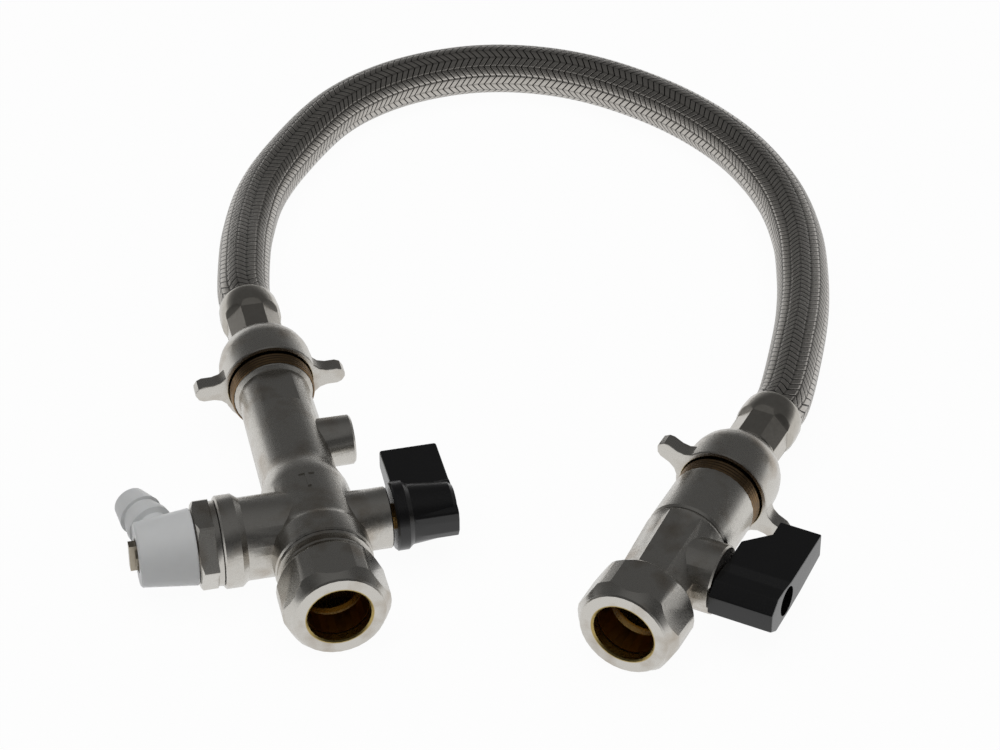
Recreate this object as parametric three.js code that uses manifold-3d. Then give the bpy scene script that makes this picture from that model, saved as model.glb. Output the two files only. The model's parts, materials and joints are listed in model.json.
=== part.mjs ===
// Filling loop: a braided hose between a check valve with drain and a plain ball valve, in mm, +Z up.
// Each valve is built in its own frame: X to its right, Y back from the nut's front face, Z up from its axis.
import * as THREE from "three";
import Module from "manifold-3d";
import { mergeVertices } from "three/addons/utils/BufferGeometryUtils.js";

// Places of the two valves on the table
const AXIS_HEIGHT = 12;
const TURN_A = 13.3;
const TURN_B = -26.3;
const PLACE_A = [-29.5, -57.1];
const PLACE_B = [35.7, -63.2];

// Compression joint, the same on both valves
const NUT_FLATS = 24;
const NUT_CORNERS = 25.8;
const NUT_LENGTH = 13.5;
const NUT_RIM = 11.2;
const PIPE_BORE = 7.6;
const THREAD = 10.4;
const SOCKET_FRONT = 10.2;
const PIPE_STOP = 20;

// Valve A
const CROSS_A = 32.3;
const HOUSING_A = 11.1;
const TUBE_A = 9.2;
const SEAT_FACE_A = 97;
const MOUTH_A = 89;
const CHECK_BORE = 7.4;
const SIDE_BOSS_Y = 63.4;
const SIDE_BOSS_END = 15.6;
const STEM_BOSS_A = 7.45;
const STEM_BOSS_END_A = 18.2;
const BALL_A = 7.9;
const BALL_BORE_A = 5;

// Drain of valve A, along its own left
const DRAIN_BOSS = 10;
const DRAIN_COLLAR = 11.2;
const DRAIN_FACE = 22.9;
const DRAIN_FLATS = 19;
const SPOUT_LEAN = 19;

// Valve B
const CROSS_B = 27.4;
const SEAT_FACE_B = 64.5;
const MOUTH_B = 56.5;
const BARREL_B = 10.5;
const STEM_BOSS_B = 8.5;
const STEM_BOSS_END_B = 13;
const BALL_B = 6.85;
const BALL_BORE_B = 4.5;

// Hose ends and hose
const WING_SPAN = 38;
const TAIL_BORE = 3.8;
const FERRULE_END = 29.3;
const HOSE_DIAMETER = 14;
const GAP = 0.15;

const kernel = await Module();
kernel.setup();
const TURN = Math.PI / 180;
const BRASS = "#6b655c";
const YELLOW_BRASS = "#b08d4a";
const BLACK = "#141414";
const WHITE = "#eceef0";
const STEEL = "#b8b8b8";
const RUBBER = "#202020";
const SEAL = "#f4f4f0";

// A closed geometry as a solid with its faces out, whatever way its outline ran.
function solid(geometry) {
  const bare = new THREE.BufferGeometry();
  const plain = geometry.index ? geometry.toNonIndexed() : geometry;
  bare.setAttribute("position", plain.getAttribute("position").clone());
  const merged = mergeVertices(bare, 1e-4);
  const index = merged.index.array;
  const kept = [];
  for (let i = 0; i < index.length; i += 3) {
    const [a, b, c] = [index[i], index[i + 1], index[i + 2]];
    if (a !== b && b !== c && a !== c) kept.push(a, b, c);
  }
  const build = (triangles) =>
    new kernel.Manifold(
      new kernel.Mesh({
        numProp: 3,
        vertProperties: merged.attributes.position.array,
        triVerts: new Uint32Array(triangles),
      }),
    );
  const made = build(kept);
  if (made.volume() > 0) return made;
  for (let i = 0; i < kept.length; i += 3) [kept[i + 1], kept[i + 2]] = [kept[i + 2], kept[i + 1]];
  return build(kept);
}

// Turned about Y from [radius, y] pairs that go once round the section.
function turned(profile, segments = 28) {
  const points = [...profile, profile[0]].map(([r, y]) => new THREE.Vector2(Math.max(r, 0), y));
  return solid(new THREE.LatheGeometry(points, segments));
}

const rod = (r, y0, y1, segments = 20) => turned([[0, y0], [r, y0], [r, y1], [0, y1]], segments);
const ring = (inner, outer, y0, y1, segments = 24) =>
  turned([[inner, y0], [outer, y0], [outer, y1], [inner, y1]], segments);

// A hexagon prism along Y with flats up and down, turned by an angle about Y.
function hexagon(flats, y0, y1, angle = 0) {
  const prism = new THREE.CylinderGeometry(flats / Math.sqrt(3), flats / Math.sqrt(3), y1 - y0, 6);
  prism.rotateY((30 + angle) * TURN);
  prism.translate(0, (y0 + y1) / 2, 0);
  return solid(prism);
}

function box(x0, x1, y0, y1, z0, z1) {
  const block = new THREE.BoxGeometry(x1 - x0, y1 - y0, z1 - z0);
  block.translate((x0 + x1) / 2, (y0 + y1) / 2, (z0 + z1) / 2);
  return solid(block);
}

// An outline in the plane of u and v, extruded along the third axis from 0 to depth, with a soft edge.
function slab(outline, depth, edge = 0, curveSteps = 2) {
  const shape = new THREE.Shape(outline.map(([u, v]) => new THREE.Vector2(u, v)));
  const body = new THREE.ExtrudeGeometry(shape, {
    depth: depth - 2 * edge,
    bevelEnabled: edge > 0,
    bevelThickness: edge,
    bevelSize: edge,
    bevelOffset: -edge,
    bevelSegments: curveSteps,
  });
  body.translate(0, 0, edge);
  return solid(body);
}

const join = (...parts) => kernel.Manifold.union(parts);
const cut = (body, ...tools) => kernel.Manifold.difference([body, ...tools]);
const common = (a, b) => kernel.Manifold.intersection([a, b]);

// Turns a piece that was made along Y so that its Y runs along the valve's right.
const toRight = (piece) => piece.rotate([0, 0, -90]);
const toLeft = (piece) => piece.rotate([0, 0, 90]);

const group = new THREE.Group();
group.name = "filling_loop";

function addPart(parent, name, body, color) {
  const data = body.getMesh();
  const count = data.vertProperties.length / data.numProp;
  const positions = new Float32Array(count * 3);
  for (let i = 0; i < count; i++)
    positions.set(data.vertProperties.subarray(i * data.numProp, i * data.numProp + 3), i * 3);
  const geometry = new THREE.BufferGeometry();
  geometry.setAttribute("position", new THREE.BufferAttribute(positions, 3));
  geometry.setIndex(new THREE.BufferAttribute(new Uint32Array(data.triVerts), 1));
  geometry.computeVertexNormals();
  const mesh = new THREE.Mesh(geometry, new THREE.MeshStandardMaterial({ color }));
  mesh.name = name;
  parent.add(mesh);
}

function valveGroup(place, turn) {
  const frame = new THREE.Group();
  frame.position.set(place[0], place[1], AXIS_HEIGHT);
  frame.rotation.z = turn * TURN;
  group.add(frame);
  return frame;
}

// Compression joint

function compressionNut(angle) {
  const prism = common(
    hexagon(NUT_FLATS, 0, NUT_LENGTH, angle),
    turned(
      [
        [0, 0],
        [NUT_RIM - 0.35, 0],
        [NUT_RIM, 0.35],
        [NUT_RIM + 0.15, 0.9],
        [NUT_CORNERS / 2, 3.1],
        [NUT_CORNERS / 2, NUT_LENGTH - 2],
        [11.6, NUT_LENGTH],
        [0, NUT_LENGTH],
      ],
      32,
    ),
  );
  const inside = turned(
    [
      [0, -1],
      [PIPE_BORE + 0.35, -1],
      [PIPE_BORE + 0.35, 0],
      [PIPE_BORE, 0.35],
      [PIPE_BORE, 2.6],
      [9.1, 4.6],
      [9.1, SOCKET_FRONT - 1.6],
      [THREAD + GAP, SOCKET_FRONT - 0.6],
      [THREAD + GAP, NUT_LENGTH + 1],
      [0, NUT_LENGTH + 1],
    ],
    28,
  );
  return cut(prism, inside);
}

const olive = () =>
  turned(
    [
      [PIPE_BORE, 3.2],
      [7.85, 3.2],
      [8.75, 4.9],
      [8.75, 7.4],
      [7.9, 9.6],
      [PIPE_BORE, 9.6],
    ],
    24,
  );

// Balls, seats and stems

function ball(radius, bore, crossY) {
  const sphere = new THREE.SphereGeometry(radius, 20, 12);
  const slot = box(radius - 2.2, radius + 1, -1.25, 1.25, -radius, radius);
  return cut(solid(sphere), rod(bore, -radius - 1, radius + 1, 20), slot).translate([0, crossY, 0]);
}

// A seat ring whose cone faces the ball; face is its flat side, counted from the ball's centre.
const seat = (radius, bore, face, side) =>
  turned([[bore, side * face], [radius, side * face], [radius, side * (face - 2.4)], [radius - 1.2, side * (face - 2.4)], [bore, side * (face - 0.5)]], 12);

// A stem from its tongue in the ball to its squared end in the handle.
function stem(tongueX, shoulderX, squareX, endX, radius) {
  const shaft = toRight(rod(radius, shoulderX, squareX, 16));
  const collar = toRight(rod(radius + 0.45, shoulderX, shoulderX + 1.2, 16));
  const tongue = common(
    box(tongueX, shoulderX, -0.95, 0.95, -radius, radius),
    toRight(rod(radius, tongueX, shoulderX, 16)),
  );
  const square = common(
    box(squareX, endX, -radius * 0.8, radius * 0.8, -radius * 0.8, radius * 0.8),
    toRight(rod(radius, squareX, endX, 16)),
  );
  const screwHole = toRight(rod(1.15, endX - 6, endX + 1, 12));
  return cut(join(shaft, collar, tongue, square), screwHole);
}

// A screw whose head faces the valve's right.
function handleScrew(headX, length) {
  const shank = toRight(rod(1, headX - length, headX, 12));
  const head = toRight(
    turned([[0, headX], [2.6, headX], [2.6, headX + 0.9], [2, headX + 1.7], [0, headX + 1.9]], 16),
  );
  const cross = join(
    box(headX + 0.9, headX + 3, -1.5, 1.5, -0.35, 0.35),
    box(headX + 0.9, headX + 3, -0.35, 0.35, -1.5, 1.5),
  );
  return cut(join(shank, head), cross);
}

// Hose ends, y counted from the mouth of the winged nut

function wingNut(mouth, angle) {
  const shell = turned(
    [
      [0, 0],
      [11.75, 0],
      [12, 0.3],
      [12, 4.4],
      [11.8, 8],
      [11.45, 12.5],
      [10.7, 15.6],
      [9.7, 18],
      [8.4, 20],
      [7.4, 21],
      [0, 21],
    ],
    32,
  );
  const half = WING_SPAN / 2;
  const outline = [
    [9, 5.2],
    [11, 4.4],
    [12.6, 2.9],
    [14.4, 2.35],
    [half - 2, 2.35],
    [half - 0.8, 1.8],
    [half, 0.4],
    [half, -0.6],
    [half - 0.8, -1.8],
    [half - 2, -2.35],
    [14.4, -2.35],
    [12.6, -2.9],
    [11, -4.4],
    [9, -5.2],
  ];
  // The outline lies in X and Z, so it is extruded and then laid back along Y.
  const wing = slab(outline, 4, 0.4).rotate([90, 0, 0]).translate([0, 4, 0]);
  const other = wing.rotate([0, 180, 0]);
  const inside = turned(
    [
      [0, -1],
      [10.9, -1],
      [10.9, 0.2],
      [10.55, 0.6],
      [10.55, 9.9],
      [9.3, 10.6],
      [9.3, 12.5],
      [6.55, 12.5],
      [6.55, 22],
      [0, 22],
    ],
    28,
  );
  return cut(join(shell, wing, other), inside).rotate([0, angle, 0]).translate([0, mouth, 0]);
}

const hoseTail = (mouth) =>
  turned(
    [
      [TAIL_BORE, 10],
      [9, 10],
      [9, 12.3],
      [6.2, 12.3],
      [6.2, 22.4],
      [4.9, 22.8],
      [4.9, 26.8],
      [4.4, 27.6],
      [TAIL_BORE, 27.6],
    ],
    24,
  ).translate([0, mouth, 0]);

const flatWasher = (mouth) => ring(5.2, 8.9, 8.15, 9.85, 24).translate([0, mouth, 0]);

// A sleeve pressed into eight flats between two round ends.
function ferrule(mouth, angle) {
  const start = 23;
  const sleeve = turned(
    [
      [5.15, start],
      [6.9, start],
      [7.3, start + 0.4],
      [7.3, FERRULE_END + 5],
      [7.75, FERRULE_END + 6.6],
      [7.75, FERRULE_END + 8],
      [7.4, FERRULE_END + 8.6],
      [5.15, FERRULE_END + 8.6],
    ],
    32,
  );
  const dents = [];
  for (let i = 0; i < 8; i++) {
    const dent = box(-3, 3, start + 1.2, FERRULE_END + 5.2, 6.75, 9).rotate([0, i * 45, 0]);
    dents.push(dent);
  }
  return cut(sleeve, ...dents).rotate([0, angle, 0]).translate([0, mouth, 0]);
}

// Valve A

const frameA = valveGroup(PLACE_A, TURN_A);
addPart(frameA, "nut_a", compressionNut(0), BRASS);
addPart(frameA, "olive_a", olive(), YELLOW_BRASS);

// The inlet end screws into the body's collar and holds the front ball seat.
const inletOutside = turned(
  [
    [0, SOCKET_FRONT],
    [THREAD - 0.8, SOCKET_FRONT],
    [THREAD - 0.1, SOCKET_FRONT + 0.7],
    [THREAD - 0.1, 14],
    [10.3, 14.2],
    [11.2, 14.6],
    [11.2, 15.2],
    [10.4, 15.6],
    [10.4, 16.2],
    [11.6, 16.6],
    [11.6, 17.6],
    [9.1, 17.6],
    [9.1, 25.5],
    [0, 25.5],
  ],
  28,
);
const inletInside = turned(
  [
    [0, SOCKET_FRONT - 1],
    [8.6, SOCKET_FRONT - 1],
    [8.6, SOCKET_FRONT],
    [PIPE_BORE, SOCKET_FRONT + 1.6],
    [PIPE_BORE, PIPE_STOP],
    [BALL_BORE_A, PIPE_STOP],
    [BALL_BORE_A, 26],
    [0, 26],
  ],
  24,
);
addPart(frameA, "inlet_a", cut(inletOutside, inletInside), BRASS);

function bodyA() {
  const main = turned(
    [
      [0, 17.9],
      [11.5, 17.9],
      [11.9, 18.3],
      [11.9, 24.2],
      [11.3, 25.6],
      [HOUSING_A, 27.2],
      [HOUSING_A, 41.6],
      [10.8, 44],
      [10.2, 46.4],
      [TUBE_A + 0.35, 48.6],
      [TUBE_A + 0.2, 51],
      [TUBE_A - 0.2, 84],
      [9.9, 84.6],
      [10.35, 85.4],
      [10.35, 88.5],
      [9.8, 89],
      [9.8, SEAT_FACE_A - 0.6],
      [9.3, SEAT_FACE_A],
      [0, SEAT_FACE_A],
    ],
    32,
  );
  const flats = 7.5;
  const spannerFlats = join(
    box(-12, 12, 72, 83.5, flats + 0.4, 12),
    box(-12, 12, 72, 83.5, -12, -flats - 0.4),
  );
  const stemBoss = toRight(
    turned(
      [
        [0, 0],
        [STEM_BOSS_A + 0.5, 0],
        [STEM_BOSS_A, 13],
        [STEM_BOSS_A, STEM_BOSS_END_A - 0.3],
        [STEM_BOSS_A - 0.3, STEM_BOSS_END_A],
        [0, STEM_BOSS_END_A],
      ],
      28,
    ),
  ).translate([0, CROSS_A, 0]);
  const drainBoss = toLeft(
    turned(
      [
        [0, 0],
        [DRAIN_BOSS, 0],
        [DRAIN_BOSS, 17.2],
        [DRAIN_COLLAR, 18.7],
        [DRAIN_COLLAR, DRAIN_FACE - 0.4],
        [DRAIN_COLLAR - 0.4, DRAIN_FACE],
        [0, DRAIN_FACE],
      ],
      28,
    ),
  ).translate([0, CROSS_A, 0]);
  const sideBoss = toRight(
    turned(
      [
        [0, 0],
        [6.3, 0],
        [6.15, SIDE_BOSS_END - 0.5],
        [5.7, SIDE_BOSS_END],
        [0, SIDE_BOSS_END],
      ],
      24,
    ),
  ).translate([0, SIDE_BOSS_Y, 0]);
  const arrow = slab([[-0.45, 0], [0.45, 0], [0.45, 4.6], [1.9, 4.6], [0, 7.4], [-1.9, 4.6], [-0.45, 4.6]], 3.5)
    .translate([0, 35, HOUSING_A - 3]);
  const arrowTop = common(arrow, rod(HOUSING_A + 0.35, 30, 46, 28));
  const bore = turned(
    [
      [0, 17],
      [9.4, 17],
      [9.4, 25.6],
      [8.5, 25.6],
      [8.5, 39.1],
      [BALL_BORE_A, 39.1],
      [BALL_BORE_A, 52],
      [CHECK_BORE, 52],
      [CHECK_BORE, SEAT_FACE_A + 1],
      [0, SEAT_FACE_A + 1],
    ],
    28,
  );
  const stemBore = toRight(turned([[0, 5], [4.4, 5], [4.4, 11.6], [3.35, 11.6], [3.35, 30], [0, 30]], 12)).translate([
    0, CROSS_A, 0,
  ]);
  const drainBore = toLeft(turned([[0, 5], [3, 5], [3, 14.6], [8.3, 14.6], [8.3, 30], [0, 30]], 12)).translate([
    0, CROSS_A, 0,
  ]);
  return cut(join(main, stemBoss, drainBoss, sideBoss, arrowTop), spannerFlats, bore, stemBore, drainBore);
}
addPart(frameA, "body_a", bodyA(), BRASS);
addPart(frameA, "seat_a1", seat(8.3, 5.4, 6.6, -1).translate([0, CROSS_A, 0]), SEAL);
addPart(frameA, "seat_a2", seat(8.3, 5.4, 6.6, 1).translate([0, CROSS_A, 0]), SEAL);
addPart(frameA, "ball_a", ball(BALL_A, BALL_BORE_A, CROSS_A), STEEL);
addPart(frameA, "stem_a", stem(6, 9, 18.6, 26, 3.15).translate([0, CROSS_A, 0]), YELLOW_BRASS);
addPart(
  frameA,
  "stem_ring_a",
  toRight(ring(3.3, 4.25, 10.35, 11.3, 16)).translate([0, CROSS_A, 0]),
  RUBBER,
);

// Lever of valve A: a round hub with a flange, and a blade that thins towards its end.
function handleA() {
  const hub = toRight(
    turned(
      [
        [0, 18.6],
        [8.7, 18.6],
        [9.3, 19.2],
        [9.4, 21.6],
        [9.1, 23],
        [8.3, 24],
        [8.1, 24.6],
        [7.2, 34.4],
        [6.2, 35.4],
        [0, 35.4],
      ],
      28,
    ),
  );
  const side = [
    [-2, -5.6],
    [6, -5],
    [19.2, -2.7],
    [20.2, -1.9],
    [20.2, 1.9],
    [19.2, 2.7],
    [6, 5],
    [-2, 5.6],
  ];
  // The side view lies in Y and Z and runs out along X.
  const blade = slab(side, 15.2, 0.5).rotate([90, 0, 90]).translate([19.8, 0, 0]);
  const socket = box(17, 27.6, -2.65, 2.65, -2.65, 2.65);
  const screwWell = toRight(rod(3.4, 29.4, 37, 20));
  const screwWay = toRight(rod(1.2, 26, 30, 12));
  const recess = toRight(rod(3.6, 17, 19.4, 20));
  return cut(join(hub, blade), socket, screwWell, screwWay, recess).translate([0, CROSS_A, 0]);
}
addPart(frameA, "handle_a", handleA(), BLACK);
addPart(frameA, "screw_a", handleScrew(29.55, 8.4).translate([0, CROSS_A, 0]), STEEL);

// Two spring-loaded check cartridges, one behind the other in the tube.
function checkHousing(y) {
  const shell = turned(
    [
      [3.7, 0],
      [6.6, 0],
      [7.2, 0.6],
      [7.2, 13],
      [6.3, 13],
      [6.3, 2],
      [3.7, 2],
    ],
    20,
  );
  const spokes = join(box(-6.5, 6.5, 11.6, 13, -0.7, 0.7), box(-0.7, 0.7, 11.6, 13, -6.5, 6.5));
  const guide = rod(2.1, 9.4, 13, 12);
  return cut(join(shell, spokes, guide), rod(1.15, 8, 14, 12)).translate([0, y, 0]);
}
const checkPoppet = (y) =>
  turned([[0, 2.2], [5, 2.2], [5.3, 2.6], [5.3, 3.3], [2, 4], [1, 4.6], [1, 11.5], [0, 11.5]], 12).translate([0, y, 0]);
function checkSpring(y) {
  const turns = 4;
  const coil = new THREE.Curve();
  coil.getPoint = (t) =>
    new THREE.Vector3(
      2.7 * Math.cos(turns * 2 * Math.PI * t),
      4.6 + 6.3 * t,
      2.7 * Math.sin(turns * 2 * Math.PI * t),
    );
  const wire = new THREE.TubeGeometry(coil, turns * 10, 0.3, 5, false);
  const first = coil.getPoint(0);
  const last = coil.getPoint(1);
  const ends = [first, last].map((p) => {
    const bead = new THREE.SphereGeometry(0.34, 6, 4);
    bead.translate(p.x, p.y, p.z);
    return solid(bead);
  });
  return join(solid(capped(wire, turns * 10, 5)), ...ends).translate([0, y, 0]);
}

// A tube's position attribute with both ends closed by fans.
function capped(tube, steps, sides) {
  const p = tube.getAttribute("position");
  const points = Array.from(p.array);
  const index = Array.from(tube.index.array);
  for (const row of [0, steps]) {
    const base = row * (sides + 1);
    const centre = [0, 0, 0];
    for (let i = 0; i < sides; i++)
      for (let k = 0; k < 3; k++) centre[k] += p.array[(base + i) * 3 + k] / sides;
    const middle = points.length / 3;
    points.push(...centre);
    for (let i = 0; i < sides; i++) {
      const a = base + i;
      const b = base + ((i + 1) % sides);
      if (row === 0) index.push(middle, a, b);
      else index.push(middle, b, a);
    }
  }
  const closed = new THREE.BufferGeometry();
  closed.setAttribute("position", new THREE.BufferAttribute(new Float32Array(points), 3));
  closed.setIndex(index);
  return closed;
}

[1, 2].forEach((number) => {
  const y = number === 1 ? 53 : 70.5;
  addPart(frameA, "check_housing_" + number, checkHousing(y), WHITE);
  addPart(frameA, "check_poppet_" + number, checkPoppet(y), WHITE);
  addPart(frameA, "check_spring_" + number, checkSpring(y), STEEL);
});

// Drain: a screwed insert, a spindle through it, and a plastic outlet that swivels on it.
function drainInsert() {
  const core = turned(
    [
      [0, 15],
      [7.9, 15],
      [7.9, 23.15],
      [10.25, 23.15],
      [10.25, 24.4],
      [8.9, 24.6],
      [8.9, 28.6],
      [6.9, 28.6],
      [6.9, 37.4],
      [6.4, 38],
      [0, 38],
    ],
    24,
  );
  const hex = common(
    hexagon(DRAIN_FLATS, 24.3, 28.5, 0),
    turned([[0, 24.3], [10.9, 24.3], [10.9, 27.9], [10, 28.5], [0, 28.5]], 20),
  );
  const inside = turned(
    [[0, 14], [3, 14], [5.5, 16.4], [5.5, 17.4], [2.85, 17.4], [2.85, 40], [0, 40]],
    24,
  );
  const groove = ring(6, 8, 32, 33.4, 20);
  const ports = box(-10, 10, 34.4, 36.4, -1.2, 1.2);
  return toLeft(cut(join(core, hex), inside, groove, ports)).translate([0, CROSS_A, 0]);
}
addPart(frameA, "drain_insert", drainInsert(), BRASS);
addPart(
  frameA,
  "drain_washer",
  toLeft(ring(3.3, 7.8, 14.7, 14.9, 20)).translate([0, CROSS_A, 0]),
  RUBBER,
);
addPart(
  frameA,
  "spout_ring",
  toLeft(ring(6.05, 7.05, 32.2, 33.2, 20)).translate([0, CROSS_A, 0]),
  RUBBER,
);

function drainSpindle() {
  const shaft = turned(
    [
      [0, 15.6],
      [2.3, 15.6],
      [4.8, 16.3],
      [4.8, 17.2],
      [2.7, 17.2],
      [2.7, 33.4],
      [1.6, 33.8],
      [1.6, 36.8],
      [2.7, 37.2],
      [2.7, 43],
      [0, 43],
    ],
    16,
  );
  const blade = box(-1.1, 1.1, 40.4, 44.3, -3.7, 3.7);
  return toLeft(join(shaft, blade)).translate([0, CROSS_A, 0]);
}
addPart(frameA, "drain_spindle", drainSpindle(), YELLOW_BRASS);

function drainSpout() {
  const cone = turned(
    [[0, 28.9], [9.1, 28.9], [9.25, 29.2], [7.8, 42.1], [7.4, 42.5], [0, 42.5]],
    44,
  );
  const hollow = turned(
    [[0, 28], [7.1, 28], [7.1, 38.4], [3.1, 39.4], [3.1, 39.6], [4.3, 40.3], [4.3, 44], [0, 44]],
    32,
  );
  const barbProfile = [
    [0, 0],
    [4.4, 0],
    [4.4, 9.6],
    [5.65, 10.2],
    [5.65, 11.4],
    [4.7, 15],
    [5.4, 15.2],
    [4.2, 20.6],
    [0, 20.6],
  ];
  const nozzle = turned(barbProfile, 32);
  const nozzleBore = rod(2.2, 5, 22, 12);
    // In the outlet's own frame Y runs out along the drain, so the nozzle is laid over to its side first.
  const aside = (piece) => piece.rotate([0, 0, SPOUT_LEAN - 90]).translate([0, 34.4, 0]);
  const body = cut(join(cone, aside(nozzle)), hollow, aside(nozzleBore));
  return toLeft(body).translate([0, CROSS_A, 0]);
}
addPart(frameA, "drain_spout", drainSpout(), WHITE);

// Valve B

const frameB = valveGroup(PLACE_B, TURN_B);
addPart(frameB, "nut_b", compressionNut(0), BRASS);
addPart(frameB, "olive_b", olive(), YELLOW_BRASS);

function bodyB() {
  const main = turned(
    [
      [0, SOCKET_FRONT],
      [THREAD - 0.8, SOCKET_FRONT],
      [THREAD - 0.1, SOCKET_FRONT + 0.7],
      [THREAD - 0.1, 14.2],
      [8.8, 14.8],
      [8.9, 20],
      [9.7, 30],
      [10.1, 34.4],
      [10.5, 35.4],
      [10.1, 36.4],
      [0, 36.4],
    ],
    32,
  );
  const facets = new THREE.CylinderGeometry(10.5, 9.3, 20, 8);
  facets.rotateY(22.5 * TURN);
  facets.translate(0, 25, 0);
  const stemBoss = toRight(
    turned(
      [
        [0, 0],
        [STEM_BOSS_B + 0.2, 0],
        [STEM_BOSS_B, STEM_BOSS_END_B - 0.4],
        [STEM_BOSS_B - 0.4, STEM_BOSS_END_B],
        [0, STEM_BOSS_END_B],
      ],
      28,
    ),
  ).translate([0, CROSS_B, 0]);
  const bore = turned(
    [
      [0, 9],
      [8.6, 9],
      [8.6, SOCKET_FRONT],
      [PIPE_BORE, SOCKET_FRONT + 1.6],
      [PIPE_BORE, 18.4],
      [BALL_BORE_B, 18.4],
      [BALL_BORE_B, 21.3],
      [7.6, 21.3],
      [7.6, 31.4],
      [8.4, 31.4],
      [8.4, 38],
      [0, 38],
    ],
    28,
  );
  const stemBore = toRight(turned([[0, 4], [4.2, 4], [4.2, 9.6], [3.15, 9.6], [3.15, 30], [0, 30]], 12)).translate([
    0, CROSS_B, 0,
  ]);
  return cut(join(main, solid(facets), stemBoss), bore, stemBore);
}
addPart(frameB, "body_b", bodyB(), BRASS);

function outletB() {
  const outside = turned(
    [
      [0, 35],
      [8.2, 35],
      [8.2, 36.55],
      [10.1, 36.55],
      [BARREL_B, 37.2],
      [BARREL_B, 51.5],
      [10.35, 52],
      [10.35, 56.2],
      [9.8, 56.6],
      [9.8, SEAT_FACE_B - 0.6],
      [9.3, SEAT_FACE_B],
      [0, SEAT_FACE_B],
    ],
    32,
  );
  const spigot = rod(8.2, 33.5, 36, 28);
  const inside = turned([[0, 33], [BALL_BORE_B, 33], [BALL_BORE_B, 40], [6.6, 42], [6.6, 66], [0, 66]], 16);
  return cut(join(outside, spigot), inside);
}
addPart(frameB, "outlet_b", outletB(), BRASS);
addPart(frameB, "seat_b1", seat(7.4, 4.8, 5.9, -1).translate([0, CROSS_B, 0]), SEAL);
addPart(frameB, "seat_b2", seat(7.4, 4.8, 5.9, 1).translate([0, CROSS_B, 0]), SEAL);
addPart(frameB, "ball_b", ball(BALL_B, BALL_BORE_B, CROSS_B), STEEL);
addPart(frameB, "stem_b", stem(5.1, 7.2, 13.4, 20, 2.95).translate([0, CROSS_B, 0]), YELLOW_BRASS);
addPart(
  frameB,
  "stem_ring_b",
  toRight(ring(3.1, 4.05, 8.55, 9.4, 16)).translate([0, CROSS_B, 0]),
  RUBBER,
);

// Lever of valve B: an angular hub with a flat front, and a blade set further out.
function handleB() {
  const hubSide = [
    [-7.4, -3.5],
    [-7.4, 3.5],
    [-4, 4.7],
    [2.6, 4.7],
    [11, 3.8],
    [11, -3.8],
    [2.6, -4.7],
    [-4, -4.7],
  ];
  const hub = slab(hubSide, 15.8, 0.3).rotate([90, 0, 90]).translate([13.4, 0, 0]);
  const bladeSide = [
    [0, -4.4],
    [0, 4.4],
    [24, 3.2],
    [25, 2.4],
    [25, -2.4],
    [24, -3.2],
  ];
  const blade = slab(bladeSide, 11.6, 0.3).rotate([90, 0, 90]).translate([17.6, 0, 0]);
  const corner = slab([[10, 18], [10, 8.2], [18, 12.4], [18, 18]], 12).translate([2.2, 0, -10]);
  const socket = box(12, 22, -2.45, 2.45, -2.45, 2.45);
  const well = toRight(rod(3.9, 24.4, 31, 20));
  const way = toRight(rod(1.2, 20, 25, 12));
  return cut(join(cut(hub, corner), blade), socket, well, way).translate([0, CROSS_B, 0]);
}
addPart(frameB, "handle_b", handleB(), BLACK);
addPart(frameB, "screw_b", handleScrew(24.55, 8.4).translate([0, CROSS_B, 0]), STEEL);

// Hose ends
for (const [letter, frame, mouth, angle] of [
  ["a", frameA, MOUTH_A, 0],
  ["b", frameB, MOUTH_B, 27],
]) {
  addPart(frame, "wing_nut_" + letter, wingNut(mouth, angle), BRASS);
  addPart(frame, "washer_" + letter, flatWasher(mouth), RUBBER);
  addPart(frame, "tail_" + letter, hoseTail(mouth), YELLOW_BRASS);
  addPart(frame, "ferrule_" + letter, ferrule(mouth, letter === "a" ? 0 : 12), BRASS);
}

// Hose: it leaves both ferrules along their axes and settles on the table. Its points are counted from valve A.
const FERRULE_FACE = FERRULE_END + 8.6;
function onAxis(place, turn, y) {
  const a = turn * TURN;
  return new THREE.Vector3(place[0] - y * Math.sin(a), place[1] + y * Math.cos(a), AXIS_HEIGHT);
}
const HOSE_POINTS = [
  [-30.3, 142, 10.9],
  [-30.2, 154, 9.6],
  [-28, 174.4, 7.8],
  [-22, 193, 7.1],
  [-8.7, 217.4, 7.05],
  [6, 230.5, 7.05],
  [22.9, 237.7, 7.05],
  [37.3, 239.5, 7.05],
  [53, 237.3, 7.05],
  [68.3, 231, 7.05],
  [87, 217.5, 7.05],
  [102.5, 199, 7.05],
  [112.5, 176.8, 7.2],
  [116.3, 155.5, 7.8],
  [116.4, 136.2, 8.9],
  [115.2, 120, 10],
  [112.6, 103, 11.2],
];
const HOSE_ROUTE = [
  onAxis(PLACE_A, TURN_A, MOUTH_A + FERRULE_FACE + 0.5),
  onAxis(PLACE_A, TURN_A, MOUTH_A + FERRULE_FACE + 5),
  ...HOSE_POINTS.map(([x, y, z]) => new THREE.Vector3(PLACE_A[0] + x, PLACE_A[1] + y, z)),
  onAxis(PLACE_B, TURN_B, MOUTH_B + FERRULE_FACE + 5),
  onAxis(PLACE_B, TURN_B, MOUTH_B + FERRULE_FACE + 0.5),
];
const hosePath = new THREE.CatmullRomCurve3(HOSE_ROUTE, false, "centripetal");
const HOSE_STEPS = 22;
const hoseSection = (radius, sides) =>
  new THREE.Shape(
    Array.from({ length: sides }, (_, i) => {
      const a = (2 * Math.PI * i) / sides;
      return new THREE.Vector2(radius * Math.cos(a), radius * Math.sin(a));
    }),
  );
const hoseGeometry = new THREE.ExtrudeGeometry(hoseSection(HOSE_DIAMETER / 2, 12), {
  steps: HOSE_STEPS,
  extrudePath: hosePath,
});
addPart(group, "hose", solid(hoseGeometry), STEEL);

export default group;
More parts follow.
